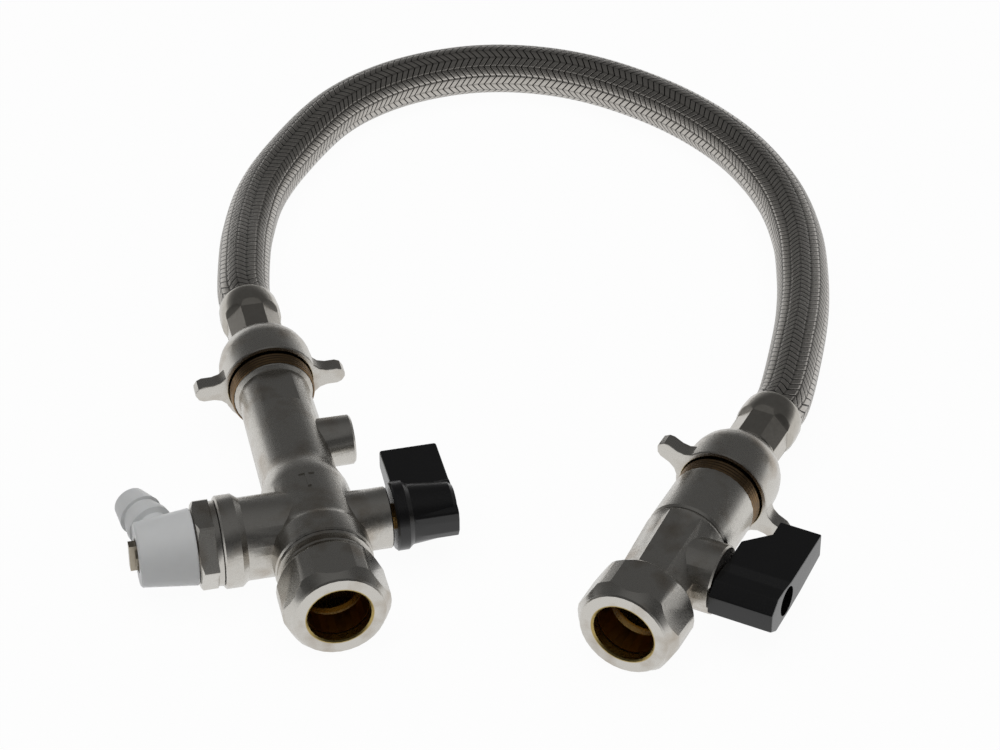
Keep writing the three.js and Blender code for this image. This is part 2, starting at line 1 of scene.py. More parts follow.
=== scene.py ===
"""Looks of a filling loop: two brass valves, a braided hose between them, levers and drain outlet.

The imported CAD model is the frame. The pieces made here ride on its bodies, and its nodes get finishes.
"""

import json
import math

import bmesh
import bpy
from mathutils import Matrix, Vector


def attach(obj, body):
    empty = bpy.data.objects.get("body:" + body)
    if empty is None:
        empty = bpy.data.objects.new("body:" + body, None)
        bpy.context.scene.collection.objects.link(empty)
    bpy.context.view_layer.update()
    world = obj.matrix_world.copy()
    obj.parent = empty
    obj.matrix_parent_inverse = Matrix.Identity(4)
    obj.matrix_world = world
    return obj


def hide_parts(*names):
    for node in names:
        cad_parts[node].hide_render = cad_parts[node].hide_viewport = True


bl_info = {
    "name": "Filling Loop",
    "version": (1, 0, 0),
    "blender": (4, 5, 0),
    "location": "3D View > Sidebar > Filling Loop",
    "description": "Finishes and fine pieces of a filling loop with a braided hose",
    "category": "Object",
}

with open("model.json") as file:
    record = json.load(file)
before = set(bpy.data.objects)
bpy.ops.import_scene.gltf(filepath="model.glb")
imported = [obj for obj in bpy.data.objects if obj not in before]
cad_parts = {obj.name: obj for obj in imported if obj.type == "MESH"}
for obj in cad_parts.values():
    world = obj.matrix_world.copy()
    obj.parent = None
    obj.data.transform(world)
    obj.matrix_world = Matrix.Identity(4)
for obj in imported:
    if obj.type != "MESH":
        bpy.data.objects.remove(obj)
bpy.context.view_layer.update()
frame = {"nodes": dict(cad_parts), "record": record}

MM = 0.001

# Where each valve stands: the front of its compression nut on the pipe's axis, and its turn in plan
PLACE_A = Vector((-29.5, -57.1, 12)) * MM
TURN_A = math.radians(13.3)
PLACE_B = Vector((35.7, -63.2, 12)) * MM
TURN_B = math.radians(-26.3)

# Where each lever crosses its valve's axis
CROSS_A = 32.3
CROSS_B = 27.4

# Where the photograph was taken from, found by fitting its outlines
CAMERA_PLACE = (0.0075, -0.6611, 0.555)

# The soft lamp's side, and its place over the object
LAMP_SIDE = 1.5
LAMP_PLACE = (0, -0.1, 1.1)

# The winged nuts' mouths, and the back of each hose end's ferrule behind its nut's mouth
MOUTH_A = 89
MOUTH_B = 56.5
FERRULE_BACK = 33.5

# The threads in front of the winged nuts: where they start and end before the mouth, and their radii
THREAD_START = 4.2
THREAD_END = 0.35
THREAD_PITCH = 0.95
THREAD_RINGS = 4
THREAD_BORE = 10.1
THREAD_ROOT = 10.36
THREAD_CREST = 10.52

# The hose's route, counted from valve A's place on the table, in millimetres
HOSE_POINTS = [
    (-30.3, 142, 10.9),
    (-30.2, 154, 9.6),
    (-28, 174.4, 7.8),
    (-22, 193, 7.1),
    (-8.7, 217.4, 7.05),
    (6, 230.5, 7.05),
    (22.9, 237.7, 7.05),
    (37.3, 239.5, 7.05),
    (53, 237.3, 7.05),
    (68.3, 231, 7.05),
    (87, 217.5, 7.05),
    (102.5, 199, 7.05),
    (112.5, 176.8, 7.2),
    (116.3, 155.5, 7.8),
    (116.4, 136.2, 8.9),
    (115.2, 120, 10),
    (112.6, 103, 11.2),
]
HOSE_SIDES = 48

# Points this near are one point, and edges that turn by more than this stay sharp
WELD = 0.002 * MM
SHARP = math.radians(26)

# How far the winged nuts reach, behind their mouths: wide over the wings, then a low dome
DOME = [
    (0, -1),
    (25, -1),
    (25, 4.6),
    (12.05, 4.6),
    (11.9, 7),
    (11.6, 9.2),
    (11, 11.2),
    (10, 13),
    (8.7, 14.5),
    (7.8, 15.2),
    (7.3, 15.5),
    (0, 15.5),
]


def linear(hex_colour):
    """An sRGB hex colour as linear red, green and blue."""
    channels = [int(hex_colour[i : i + 2], 16) / 255 for i in (1, 3, 5)]
    return tuple(c / 12.92 if c <= 0.04045 else ((c + 0.055) / 1.055) ** 2.4 for c in channels)


def grey(level):
    """A neutral colour with its alpha."""
    return (level, level, level, 1)


def on_axis(place, turn, along):
    """A point on a valve's axis, counted back from the front of its compression nut."""
    return place + Vector((-math.sin(turn), math.cos(turn), 0)) * along * MM


def valve_matrix(place, turn):
    """Takes a valve's own frame, right, back and up from its nut, to the object's frame."""
    return Matrix.Translation(place) @ Matrix.Rotation(turn, 4, "Z")


def smooth_route(points, steps):
    """A centripetal Catmull-Rom curve through the points, with so many steps for each span."""
    ends = [points[0] * 2 - points[1], *points, points[-1] * 2 - points[-2]]
    route = [points[0].copy()]
    for before, start, end, after in zip(ends, ends[1:], ends[2:], ends[3:]):
        t0 = (start - before).length ** 0.5
        t1 = (end - start).length ** 0.5
        t2 = (after - end).length ** 0.5
        leave = ((start - before) / t0 - (end - before) / (t0 + t1)) * t1 + (end - start)
        arrive = ((after - end) / t2 - (after - start) / (t1 + t2)) * t1 + (end - start)
        for i in range(1, steps + 1):
            t = i / steps
            route.append(
                start * (2 * t**3 - 3 * t**2 + 1)
                + leave * (t**3 - 2 * t**2 + t)
                + end * (3 * t**2 - 2 * t**3)
                + arrive * (t**3 - t**2)
            )
    return route


def hose_route():
    """The hose's centreline from ferrule A round to ferrule B."""
    points = [
        on_axis(PLACE_A, TURN_A, MOUTH_A + FERRULE_BACK + 0.5),
        on_axis(PLACE_A, TURN_A, MOUTH_A + FERRULE_BACK + 5),
        *(Vector((PLACE_A.x + x * MM, PLACE_A.y + y * MM, z * MM)) for x, y, z in HOSE_POINTS),
        on_axis(PLACE_B, TURN_B, MOUTH_B + FERRULE_BACK + 5),
        on_axis(PLACE_B, TURN_B, MOUTH_B + FERRULE_BACK + 0.5),
    ]
    return smooth_route(points, 14)


def put(tree, kind, values=(), links=(), **settings):
    """Adds a node to a tree, with its settings, the values of its sockets and the outputs that feed them."""
    made = tree.nodes.new(kind)
    for name, value in settings.items():
        setattr(made, name, value)
    for socket, value in dict(values).items():
        made.inputs[socket].default_value = value
    for socket, source in dict(links).items():
        tree.links.new(source, made.inputs[socket])
    return made


def new_material(name, hex_colour, metallic, roughness):
    """A material with its shader, and that shader's node."""
    material = bpy.data.materials.new(name)
    material.use_nodes = True
    tree = material.node_tree
    shader = tree.nodes["Principled BSDF"]
    shader.inputs["Base Color"].default_value = (*linear(hex_colour), 1)
    shader.inputs["Metallic"].default_value = metallic
    shader.inputs["Roughness"].default_value = roughness
    return material, tree, shader


def blend_colours(tree, factor, first, second):
    """The output of a mix of two hex colours or colour outputs."""
    mix = put(tree, "ShaderNodeMix", {}, {"Factor": factor}, data_type="RGBA")
    for socket, colour in ((6, first), (7, second)):
        if isinstance(colour, str):
            mix.inputs[socket].default_value = (*linear(colour), 1)
        else:
            tree.links.new(colour, mix.inputs[socket])
    return mix.outputs[2]


def bumped(tree, shader, height, strength, depth):
    """Feeds a height to the shader's normal, with its depth in metres."""
    bump = put(
        tree,
        "ShaderNodeBump",
        {"Strength": strength, "Distance": depth},
        {"Height": height},
    )
    tree.links.new(bump.outputs["Normal"], shader.inputs["Normal"])


def valve_place(tree, place, turn):
    """Object coordinates counted in a valve's own frame."""
    home = Matrix.Rotation(-turn, 4, "Z") @ (-place)
    coordinates = put(tree, "ShaderNodeTexCoord").outputs["Object"]
    return put(
        tree,
        "ShaderNodeMapping",
        {"Location": home, "Rotation": (0, 0, -turn)},
        {"Vector": coordinates},
    ).outputs["Vector"]


def near_axis(tree, here, radius, back):
    """One inside a radius about the valve's axis and in front of a distance along it, nought outside."""
    split = put(tree, "ShaderNodeSeparateXYZ", {}, {"Vector": here})
    across = put(
        tree,
        "ShaderNodeVectorMath",
        {1: (1, 0, 1)},
        {0: here},
        operation="MULTIPLY",
    )
    distance = put(tree, "ShaderNodeVectorMath", {}, {0: across.outputs[0]}, operation="LENGTH")
    inside = put(
        tree,
        "ShaderNodeMapRange",
        {"From Min": radius + 0.2 * MM, "From Max": radius},
        {"Value": distance.outputs["Value"]},
    )
    front = put(tree, "ShaderNodeMath", {1: back}, {0: split.outputs["Y"]}, operation="LESS_THAN")
    return put(
        tree,
        "ShaderNodeMath",
        {},
        {0: inside.outputs["Result"], 1: front.outputs["Value"]},
        operation="MULTIPLY",
    ).outputs["Value"]


def dress(material, *names):
    """Gives CAD nodes their finish."""
    for name in names:
        mesh = frame["nodes"][name].data
        mesh.materials.clear()
        mesh.materials.append(material)


def body_of(name):
    """The body that carries a CAD node."""
    for body, nodes in frame["record"]["behaviour"]["bodies"].items():
        if name in nodes:
            return body
    raise ValueError(name + " is on no body")


def stand_in(bm, name, material):
    """Puts a shape in place of a CAD node, smooth over its curves and with its corners kept sharp."""
    bmesh.ops.remove_doubles(bm, verts=bm.verts, dist=WELD)
    for face in bm.faces:
        face.smooth = True
    for edge in bm.edges:
        edge.smooth = len(edge.link_faces) == 2 and edge.calc_face_angle() < SHARP
    piece = link_mesh(name + "_finish", bm, material)
    even = piece.modifiers.new("even_normals", "WEIGHTED_NORMAL")
    even.keep_sharp = True
    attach(piece, body_of(name))
    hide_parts(name)


def copy_of(name):
    """A joined-up bmesh copy of a CAD node."""
    bm = bmesh.new()
    bm.from_mesh(frame["nodes"][name].data)
    bmesh.ops.remove_doubles(bm, verts=bm.verts, dist=WELD)
    return bm


def round_off(material, *names):
    """Puts a smooth copy in place of each CAD node."""
    for name in names:
        stand_in(copy_of(name), name, material)


def turned(outline, steps=48):
    """A solid of revolution about Y, from radii and places in millimetres.

    An outline that starts off the axis is closed on itself.
    """
    bm = bmesh.new()
    points = [bm.verts.new((r * MM, t * MM, 0)) for r, t in outline]
    edges = [bm.edges.new(pair) for pair in zip(points, points[1:])]
    if outline[0][0]:
        edges.append(bm.edges.new((points[-1], points[0])))
    bmesh.ops.spin(
        bm,
        geom=points + edges,
        cent=(0, 0, 0),
        axis=(0, 1, 0),
        angle=math.tau,
        steps=steps,
        use_merge=True,
    )
    bmesh.ops.remove_doubles(bm, verts=bm.verts, dist=1e-6)
    bmesh.ops.recalc_face_normals(bm, faces=bm.faces)
    return bm


def prism(outline, low, high, edge=0.0):
    """An outline in X and Y, in millimetres, drawn up along Z, with its edges rounded."""
    bm = bmesh.new()
    points = [bm.verts.new((x * MM, y * MM, low * MM)) for x, y in outline]
    face = bmesh.ops.contextual_create(bm, geom=points)["faces"][0]
    grown = bmesh.ops.extrude_face_region(bm, geom=[face])["geom"]
    fresh = [v for v in grown if isinstance(v, bmesh.types.BMVert)]
    bmesh.ops.translate(bm, verts=fresh, vec=(0, 0, (high - low) * MM))
    bmesh.ops.recalc_face_normals(bm, faces=bm.faces)
    if edge:
        bmesh.ops.bevel(
            bm,
            geom=bm.edges[:],
            offset=edge * MM,
            affect="EDGES",
            segments=2,
            profile=0.5,
            material=-1,
        )
    return bm


def outward(bm):
    """Lays a prism's outline into Y and Z and its length along X."""
    lay = Matrix(((0, 0, 1, 0), (1, 0, 0, 0), (0, 1, 0, 0), (0, 0, 0, 1)))
    bmesh.ops.transform(bm, matrix=lay, verts=bm.verts)
    return bm


def to_right(bm):
    """Turns a solid of revolution about Y to lie along X."""
    bmesh.ops.transform(bm, matrix=Matrix.Rotation(-math.pi / 2, 4, "Z"), verts=bm.verts)
    return bm


def worked(bm, operation, *others):
    """Joins shapes to a bmesh, cuts them out of it, or keeps what lies in all of them."""
    pieces = []
    for shape in (bm, *others):
        mesh = bpy.data.meshes.new("worked")
        shape.to_mesh(mesh)
        shape.free()
        pieces.append(bpy.data.objects.new("worked", mesh))
        bpy.context.scene.collection.objects.link(pieces[-1])
    for tool in pieces[1:]:
        modifier = pieces[0].modifiers.new("worked", "BOOLEAN")
        modifier.object = tool
        modifier.operation = operation
        modifier.solver = "EXACT"
    made = bmesh.new()
    made.from_mesh(pieces[0].evaluated_get(bpy.context.evaluated_depsgraph_get()).to_mesh())
    for piece in pieces:
        mesh = piece.data
        bpy.data.objects.remove(piece)
        bpy.data.meshes.remove(mesh)
    return made


def placed(bm, place, turn, along=0.0):
    """Moves a shape from a valve's frame to the object's frame, so far back along the valve's axis."""
    matrix = valve_matrix(place, turn) @ Matrix.Translation((0, along * MM, 0))
    bmesh.ops.transform(bm, matrix=matrix, verts=bm.verts)
    return bm


def link_mesh(name, bm, material):
    """A bmesh as an object in the scene, with its place in its mesh."""
    mesh = bpy.data.meshes.new(name)
    bm.to_mesh(mesh)
    bm.free()
    mesh.materials.append(material)
    made = bpy.data.objects.new(name, mesh)
    bpy.context.scene.collection.objects.link(made)
    return made


# Nickel plate on cast and machined brass: satin and warm grey, brown where it is thin, bare brass in bores
def nickel_plate_material(name, place, turn, bore, bore_back, grain_size, grain_depth):
    material, tree, shader = new_material(name, "#c4c0b9", 1.0, 0.3)
    here = valve_place(tree, place, turn)
    cloud = put(tree, "ShaderNodeTexNoise", {"Scale": 130, "Detail": 3}, {"Vector": here})
    thin = put(
        tree,
        "ShaderNodeMapRange",
        {"From Min": 0.5, "From Max": 0.8},
        {"Value": cloud.outputs["Fac"]},
    )
    plate = blend_colours(tree, thin.outputs["Result"], "#c6c3bd", "#a3988a")
    brass = near_axis(tree, here, bore, bore_back)
    colour = blend_colours(tree, brass, plate, "#a8945e")
    tree.links.new(colour, shader.inputs["Base Color"])
    grain = put(tree, "ShaderNodeTexNoise", {"Scale": 1 / grain_size, "Detail": 3}, {"Vector": here})
    rough = put(
        tree,
        "ShaderNodeMapRange",
        {"From Min": 0.3, "From Max": 0.7, "To Min": 0.24, "To Max": 0.36},
        {"Value": grain.outputs["Fac"]},
    )
    tree.links.new(rough.outputs["Result"], shader.inputs["Roughness"])
    bumped(tree, shader, grain.outputs["Fac"], 0.35, grain_depth)
    return material


# Bare turned brass: yellow, with fine rings left by the tool about the valve's axis
def turned_brass_material(name, place, turn):
    material, tree, shader = new_material(name, "#b08a4a", 1.0, 0.3)
    here = valve_place(tree, place, turn)
    rings = put(
        tree,
        "ShaderNodeTexWave",
        {"Scale": 1100, "Distortion": 0.4, "Detail": 1},
        {"Vector": here},
        bands_direction="Y",
    )
    colour = blend_colours(tree, rings.outputs["Fac"], "#a57e42", "#b8935a")
    tree.links.new(colour, shader.inputs["Base Color"])
    bumped(tree, shader, rings.outputs["Fac"], 0.3, 0.03 * MM)
    return material


# Plain finishes: a colour that varies a little with a fine grain on Object coordinates
def grained_material(name, first, second, metallic, roughness, grain_size, grain_depth):
    material, tree, shader = new_material(name, first, metallic, roughness)
    here = put(tree, "ShaderNodeTexCoord").outputs["Object"]
    grain = put(tree, "ShaderNodeTexNoise", {"Scale": 1 / grain_size, "Detail": 3}, {"Vector": here})
    colour = blend_colours(tree, grain.outputs["Fac"], first, second)
    tree.links.new(colour, shader.inputs["Base Color"])
    bumped(tree, shader, grain.outputs["Fac"], 0.3, grain_depth)
    return material, tree, shader


# Stainless wire braid: flat strands of parallel wires in a herringbone, dark gaps between the strands, with
# painted shade in its colour where the weave is low
def braid_material(columns, pitch):
    material, tree, shader = new_material("stainless_wire_braid", "#b4b0aa", 1.0, 0.34)
    coordinates = put(tree, "ShaderNodeUVMap", uv_map="braid").outputs["UV"]
    split = put(tree, "ShaderNodeSeparateXYZ", {}, {"Vector": coordinates})
    # The zigzag swings one strand's width to each side from column to column
    swing = put(
        tree,
        "ShaderNodeMath",
        {1: 1.0},
        {0: split.outputs["X"]},
        operation="PINGPONG",
    )
    lean = put(
        tree,
        "ShaderNodeMath",
        {1: 1.05},
        {0: swing.outputs["Value"], 2: split.outputs["Y"]},
        operation="MULTIPLY_ADD",
    )
    strand = put(tree, "ShaderNodeMath", {}, {0: lean.outputs["Value"]}, operation="FRACT")
    middle = put(
        tree,
        "ShaderNodeMath",
        {1: 0.5},
        {0: strand.outputs["Value"]},
        operation="PINGPONG",
    )
    # Nought in the gap and one on the strand
    body = put(
        tree,
        "ShaderNodeMapRange",
        {"From Min": 0.05, "From Max": 0.15},
        {"Value": middle.outputs["Value"]},
        interpolation_type="SMOOTHSTEP",
    )
    # Each strand dips under its neighbours at the turn of the zigzag
    dip = put(
        tree,
        "ShaderNodeMath",
        {1: 0.5},
        {0: swing.outputs["Value"]},
        operation="PINGPONG",
    )
    crown = put(
        tree,
        "ShaderNodeMapRange",
        {"From Min": 0.0, "From Max": 0.2, "To Min": 0.5, "To Max": 1.0},
        {"Value": dip.outputs["Value"]},
        interpolation_type="SMOOTHSTEP",
    )
    # Five wires lie side by side in a strand, one for each turn of the wave
    wires = put(
        tree,
        "ShaderNodeMath",
        {1: 31.4},
        {0: strand.outputs["Value"]},
        operation="MULTIPLY",
    )
    wave = put(tree, "ShaderNodeMath", {}, {0: wires.outputs["Value"]}, operation="COSINE")
    height = put(
        tree,
        "ShaderNodeMath",
        {},
        {0: body.outputs["Result"], 1: crown.outputs["Result"]},
        operation="MULTIPLY",
    )
    fine = put(
        tree,
        "ShaderNodeMath",
        {1: -0.06},
        {0: wave.outputs["Value"], 2: height.outputs["Value"]},
        operation="MULTIPLY_ADD",
    )
    # The colour follows the weave's height as painted shade: near black in the gaps, darker where a strand
    # dips under its neighbours and in the grooves between its wires
    painted_weave_shade = put(
        tree,
        "ShaderNodeMapRange",
        {"From Min": 0.1, "From Max": 0.75},
        {"Value": fine.outputs["Value"]},
    )
    colour = blend_colours(tree, painted_weave_shade.outputs["Result"], "#1c1a18", "#bab6b0")
    tree.links.new(colour, shader.inputs["Base Color"])
    bumped(tree, shader, fine.outputs["Value"], 0.8, 0.28 * MM)
    return material


class FillingLoopStage(bpy.types.PropertyGroup):
    """The camera's lens and pitch, and the lamp's power."""

    lens: bpy.props.FloatProperty(
        name="Lens",
        description="Focal length on a 36 mm sensor",
        default=126.14,
        unit="CAMERA",
    )
    pitch: bpy.props.FloatProperty(
        name="Pitch",
        description="How far the camera looks down",
        default=math.radians(38.01),
        subtype="ANGLE",
    )
    softbox: bpy.props.FloatProperty(
        name="Softbox",
        description="Power of the lamp overhead",
        default=10.0,
        unit="POWER",
    )


class FillingLoopHose(bpy.types.PropertyGroup):
    """Sizes of the braided hose."""

    diameter: bpy.props.FloatProperty(
        name="Diameter",
        description="Outside diameter over the braid",
        default=13.6 * MM,
        unit="LENGTH",
    )
    columns: bpy.props.IntProperty(
        name="Columns",
        description="Columns of the herringbone round the hose, an even number",
        default=16,
        min=8,
    )
    pitch: bpy.props.FloatProperty(
        name="Pitch",
        description="Distance along the hose from one strand to the next",
        default=1.95 * MM,
        unit="LENGTH",
    )


class FILLINGLOOP_OT_stage(bpy.types.Operator):
    """Adds the floor, the lamp, the world and the camera at the photograph's angle"""

    bl_idname = "filling_loop.stage"
    bl_label = "Stage"

    def execute(self, context):
        settings = context.scene.filling_loop_stage
        scene = context.scene
        scene.view_settings.view_transform = "Standard"
        camera = bpy.data.objects.new("camera", bpy.data.cameras.new("camera"))
        camera.data.lens = settings.lens
        camera.data.sensor_width = 36
        camera.data.clip_start = 0.01
        camera.data.clip_end = 20
        camera.location = CAMERA_PLACE
        camera.rotation_euler = (math.pi / 2 - settings.pitch, 0, 0)
        scene.collection.objects.link(camera)
        scene.camera = camera
        self.add_floor()
        self.add_world(scene)
        lamp = bpy.data.lights.new("softbox_over", "AREA")
        lamp.shape = "SQUARE"
        lamp.size = LAMP_SIDE
        lamp.energy = settings.softbox
        held = bpy.data.objects.new("softbox_over", lamp)
        held.location = LAMP_PLACE
        # The lamp is a broad soft fill, so the metal mirrors the tent and not the lamp
        held.visible_glossy = False
        scene.collection.objects.link(held)
        return {"FINISHED"}

    def add_floor(self):
        """A white sheet that stays white to the camera and to the metal, and keeps a soft shadow."""
        bm = bmesh.new()
        bmesh.ops.create_grid(bm, x_segments=1, y_segments=1, size=4)
        material, tree, shader = new_material("floor_paper", "#f4f4f4", 0.0, 0.9)
        path = put(tree, "ShaderNodeLightPath")
        seen = put(
            tree,
            "ShaderNodeMath",
            {},
            {0: path.outputs["Is Camera Ray"], 1: path.outputs["Is Glossy Ray"]},
            operation="ADD",
        )
        seen = put(
            tree,
            "ShaderNodeMath",
            {},
            {0: seen.outputs["Value"], 1: path.outputs["Is Transmission Ray"]},
            operation="ADD",
        )
        share = put(tree, "ShaderNodeMath", {1: 0.96}, {0: seen.outputs["Value"]}, operation="MULTIPLY")
        white = put(tree, "ShaderNodeEmission", {"Color": grey(1), "Strength": 1.0})
        mix = put(
            tree,
            "ShaderNodeMixShader",
            {},
            {0: share.outputs["Value"], 1: shader.outputs["BSDF"], 2: white.outputs["Emission"]},
        )
        tree.links.new(mix.outputs["Shader"], tree.nodes["Material Output"].inputs["Surface"])
        floor = link_mesh("floor", bm, material)
        # A fifth of a millimetre lower, so the floor doesn't share a plane with what stands on it
        floor.location.z = -0.2 * MM

    def add_world(self, scene):
        """A tent that is pale low down, and dark at the height that the tops of the pieces mirror."""
        world = bpy.data.worlds.new("studio")
        world.use_nodes = True
        tree = world.node_tree
        way = put(tree, "ShaderNodeTexCoord").outputs["Generated"]
        split = put(tree, "ShaderNodeSeparateXYZ", {}, {"Vector": way})
        ramps = []
        for levels in (
            ((0.0, 0.5), (0.12, 0.24), (0.35, 0.1), (0.75, 0.1), (1.0, 0.16)),
            ((0.0, 0.45), (0.2, 0.25), (0.45, 0.06), (0.72, 0.06), (0.88, 0.17), (1.0, 0.17)),
        ):
            ramp = put(tree, "ShaderNodeValToRGB", {}, {"Fac": split.outputs["Z"]})
            elements = ramp.color_ramp.elements
            elements[0].color = grey(levels[0][1])
            elements[0].position = levels[0][0]
            elements[1].color = grey(levels[-1][1])
            elements[1].position = levels[-1][0]
            for position, level in levels[1:-1]:
                elements.new(position).color = grey(level)
            ramps.append(ramp.outputs["Color"])
        front = put(
            tree,
            "ShaderNodeMapRange",
            {"From Min": 0.25, "From Max": -0.25},
            {"Value": split.outputs["Y"]},
        )
        mix = put(tree, "ShaderNodeMix", {}, {"Factor": front.outputs["Result"]}, data_type="RGBA")
        tree.links.new(ramps[0], mix.inputs[6])
        tree.links.new(ramps[1], mix.inputs[7])
        tree.links.new(mix.outputs[2], tree.nodes["Background"].inputs["Color"])
        scene.world = world


class FILLINGLOOP_OT_hose(bpy.types.Operator):
    """Makes the braided hose along its route"""

    bl_idname = "filling_loop.hose"
    bl_label = "Braided hose"

    def execute(self, context):
        settings = context.scene.filling_loop_hose
        route = hose_route()
        spans = [(b - a).length for a, b in zip(route, route[1:])]
        bm = bmesh.new()
        wraps = bm.loops.layers.uv.new("braid")
        ring = self.first_ring(bm, route, settings.diameter / 2)
        rings = [ring]
        before = (route[1] - route[0]).normalized()
        for i in range(1, len(route)):
            after = (route[min(i + 1, len(route) - 1)] - route[i - 1]).normalized()
            edges = [bm.edges.get((ring[k], ring[(k + 1) % HOSE_SIDES])) for k in range(HOSE_SIDES)]
            grown = bmesh.ops.extrude_edge_only(bm, edges=edges)["geom"]
            fresh = [v for v in grown if isinstance(v, bmesh.types.BMVert)]
            fresh = self.in_order(ring, fresh)
            bmesh.ops.rotate(
                bm,
                verts=fresh,
                cent=route[i - 1],
                matrix=before.rotation_difference(after).to_matrix(),
            )
            bmesh.ops.translate(bm, verts=fresh, vec=route[i] - route[i - 1])
            ring = fresh
            rings.append(ring)
            before = after
        self.lay_braid(bm, wraps, rings, spans, settings)
        bmesh.ops.contextual_create(bm, geom=rings[0])
        bmesh.ops.contextual_create(bm, geom=rings[-1])
        bmesh.ops.recalc_face_normals(bm, faces=bm.faces)
        for face in bm.faces:
            face.smooth = True
        hose = link_mesh("hose_braid", bm, braid_material(settings.columns, settings.pitch))
        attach(hose, "fixed_parts")
        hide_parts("hose")
        return {"FINISHED"}

    def first_ring(self, bm, route, radius):
        """A circle square to the start of the route."""
        way = (route[1] - route[0]).normalized()
        turn = Vector((0, 0, 1)).rotation_difference(way).to_matrix().to_4x4()
        made = bmesh.ops.create_circle(
            bm,
            cap_ends=False,
            segments=HOSE_SIDES,
            radius=radius,
            matrix=Matrix.Translation(route[0]) @ turn,
        )
        return made["verts"]

    def in_order(self, ring, fresh):
        """The new ring's points in the order of the ring that they grew from."""
        found = {}
        for v in fresh:
            for edge in v.link_edges:
                found[edge.other_vert(v)] = v
        return [found[v] for v in ring]

    def lay_braid(self, bm, wraps, rings, spans, settings):
        """Gives each face its place in the braid: columns round the hose, strands along it."""
        column = settings.columns / HOSE_SIDES
        along = 0.0
        for ring, later, span in zip(rings, rings[1:], spans):
            rows = {}
            for k in range(HOSE_SIDES):
                rows[ring[k]] = (k, along)
                rows[later[k]] = (k, along + span)
            for k in range(HOSE_SIDES):
                corners = (ring[k], ring[(k + 1) % HOSE_SIDES], later[(k + 1) % HOSE_SIDES], later[k])
                face = bm.faces.get(corners)
                for loop in face.loops:
                    place, reach = rows[loop.vert]
                    if place == 0 and k == HOSE_SIDES - 1:
                        place = HOSE_SIDES
                    loop[wraps].uv = (place * column, reach / settings.pitch)
            along += span


class FILLINGLOOP_OT_threads(bpy.types.Operator):
    """Adds the brass threads that show in front of the winged nuts, as fine rings"""

    bl_idname = "filling_loop.threads"
    bl_label = "Threads"

    def execute(self, context):
        # Cut brass thread whose thin plate has gone brown and shows the brass on its crests
        worn = grained_material(
            "thinly_plated_thread", "#5d5247", "#8f7350", 1.0, 0.3, 1.5 * MM, 0.03 * MM
        )[0]
        for name, place, turn, mouth in (
            ("thread_a", PLACE_A, TURN_A, MOUTH_A),
            ("thread_b", PLACE_B, TURN_B, MOUTH_B),
        ):
            outline = [(THREAD_BORE, mouth - THREAD_START)]
            for i in range(THREAD_RINGS):
                start = mouth - THREAD_START + i * THREAD_PITCH
                outline.append((THREAD_ROOT, start + 0.05))
                outline.append((THREAD_CREST, start + 0.4))
                outline.append((THREAD_CREST, start + 0.55))
            outline.append((THREAD_ROOT, mouth - THREAD_END))
            outline.append((THREAD_BORE, mouth - THREAD_END))
            thread = link_mesh(name, placed(turned(outline, 64), place, turn), worn)
            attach(thread, "fixed_parts")
        return {"FINISHED"}


